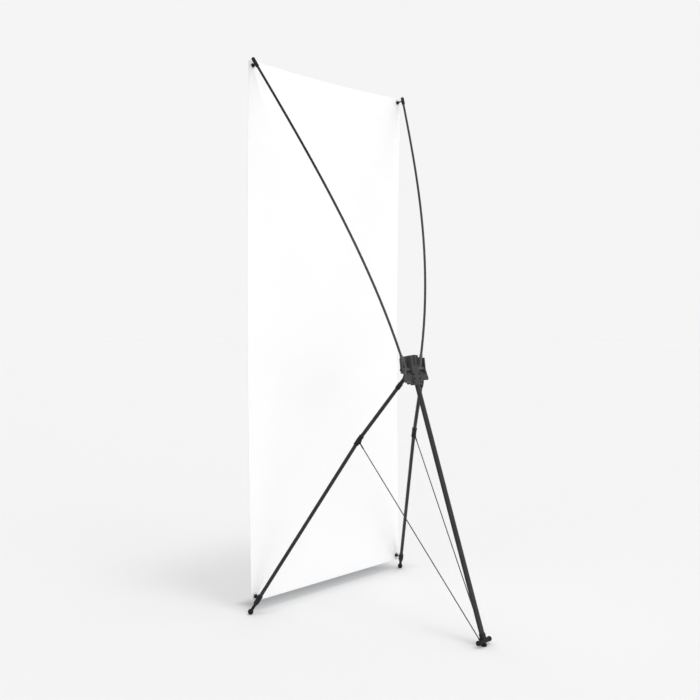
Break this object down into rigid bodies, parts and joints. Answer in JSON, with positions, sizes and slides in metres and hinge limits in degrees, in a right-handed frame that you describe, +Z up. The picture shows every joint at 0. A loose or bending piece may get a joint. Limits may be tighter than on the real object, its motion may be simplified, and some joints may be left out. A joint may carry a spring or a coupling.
{
  "type": "x banner stand",
  "caption": "Folding banner stand: a moulded hub, bent rods upwards, jointed legs downwards and a blank sheet stretched in front.",
  "frame": {"origin": "on the floor, under the middle of the stand's width and depth", "axes": "+X to the left foot as seen from behind the stand, +Y from the sheet to the rear leg, +Z up"},
  "size_m": [0.829, 0.7994, 2.045],
  "materials": {
    "hub_plastic": "dark grey moulded, fine texture",
    "black_plastic": "black moulded, satin",
    "rod": "dark glass-fibre rod, glossy",
    "leg_tube": "dark grey paint, semi-gloss",
    "steel": "dark plated steel",
    "foot_rubber": "black rubber, matte",
    "cord": "braided dark cord",
    "eyelet": "black plated",
    "sheet": "white banner sheet, satin, blank"
  },
  "bodies": {
    "hub": {"hub_front_shell": "hub_plastic", "hub_rear_cover": "hub_plastic", "screw_upper_left": "steel", "screw_upper_right": "steel", "screw_lower_left": "steel", "screw_lower_right": "steel", "arm_pin_left": "steel", "arm_pin_right": "steel", "leg_pin_left": "steel", "leg_pin_right": "steel", "rear_leg_pin": "steel"},
    "arm_left": {"arm_knuckle_left": "hub_plastic", "arm_rod_left": "rod", "tip_cap_left": "black_plastic"},
    "arm_right": {"arm_knuckle_right": "hub_plastic", "arm_rod_right": "rod", "tip_cap_right": "black_plastic"},
    "leg_left": {"leg_knuckle_left": "black_plastic", "leg_upper_tube_left": "leg_tube", "leg_collar_left": "black_plastic", "leg_lower_tube_left": "leg_tube", "leg_end_fitting_left": "black_plastic", "foot_left": "foot_rubber"},
    "leg_right": {"leg_knuckle_right": "black_plastic", "leg_upper_tube_right": "leg_tube", "leg_collar_right": "black_plastic", "leg_lower_tube_right": "leg_tube", "leg_end_fitting_right": "black_plastic", "foot_right": "foot_rubber"},
    "rear_leg": {"rear_leg_knuckle": "black_plastic", "rear_leg_tube": "leg_tube", "rear_foot_bar": "black_plastic", "rear_foot_pad": "foot_rubber", "rear_foot_ball_left": "foot_rubber", "rear_foot_ball_right": "foot_rubber"},
    "stay_left": {"stay_crimp_left": "black_plastic", "stay_cord_left": "cord"},
    "stay_right": {"stay_crimp_right": "black_plastic", "stay_cord_right": "cord"},
    "banner": {"banner_sheet": "sheet", "eyelet_top_left": "eyelet", "eyelet_top_right": "eyelet", "eyelet_bottom_left": "eyelet", "eyelet_bottom_right": "eyelet"}
  },
  "joints": [
    {"name": "arm_left_fold", "type": "hinge", "parent": "hub", "child": "arm_left", "pos_m": [0.0368, 0.05935, 0.918], "axis": [-1, 0, 0], "range_deg": [0, 125]},
    {"name": "arm_right_fold", "type": "hinge", "parent": "hub", "child": "arm_right", "pos_m": [-0.0368, 0.05935, 0.918], "axis": [-1, 0, 0], "range_deg": [0, 125]},
    {"name": "leg_left_fold", "type": "hinge", "parent": "hub", "child": "leg_left", "pos_m": [0.0455, 0.06576, 0.88962], "axis": [0.8477, 0.5253, 0.0738], "range_deg": [0, 38]},
    {"name": "leg_right_fold", "type": "hinge", "parent": "hub", "child": "leg_right", "pos_m": [-0.0455, 0.06576, 0.88962], "axis": [0.8477, -0.5253, -0.0738], "range_deg": [0, 38]},
    {"name": "rear_leg_fold", "type": "hinge", "parent": "hub", "child": "rear_leg", "pos_m": [0, 0.06744, 0.905], "axis": [-1, 0, 0], "range_deg": [0, 11.4]},
    {"name": "stay_left_swing", "type": "hinge", "parent": "leg_left", "child": "stay_left", "pos_m": [0.14549, -0.05903, 0.64488], "axis": [-0.9075, -0.4103, -0.09], "range_deg": [0, 64], "deforming": ["stay_cord_left"]},
    {"name": "stay_right_swing", "type": "hinge", "parent": "leg_right", "child": "stay_right", "pos_m": [-0.14549, -0.05903, 0.64488], "axis": [-0.9075, 0.4103, 0.09], "range_deg": [0, 64], "deforming": ["stay_cord_right"]},
    {"name": "banner_unhook", "type": "slide", "parent": "hub", "child": "banner", "axis": [0, -1, 0], "range_m": [0, 0.25]}
  ],
  "couplings": [
    {"joint": "leg_right_fold", "follows": "leg_left_fold", "ratio": 1},
    {"joint": "rear_leg_fold", "follows": "leg_left_fold", "ratio": 0.3},
    {"joint": "stay_left_swing", "follows": "leg_left_fold", "ratio": 1.68},
    {"joint": "stay_right_swing", "follows": "leg_left_fold", "ratio": 1.68}
  ]
}
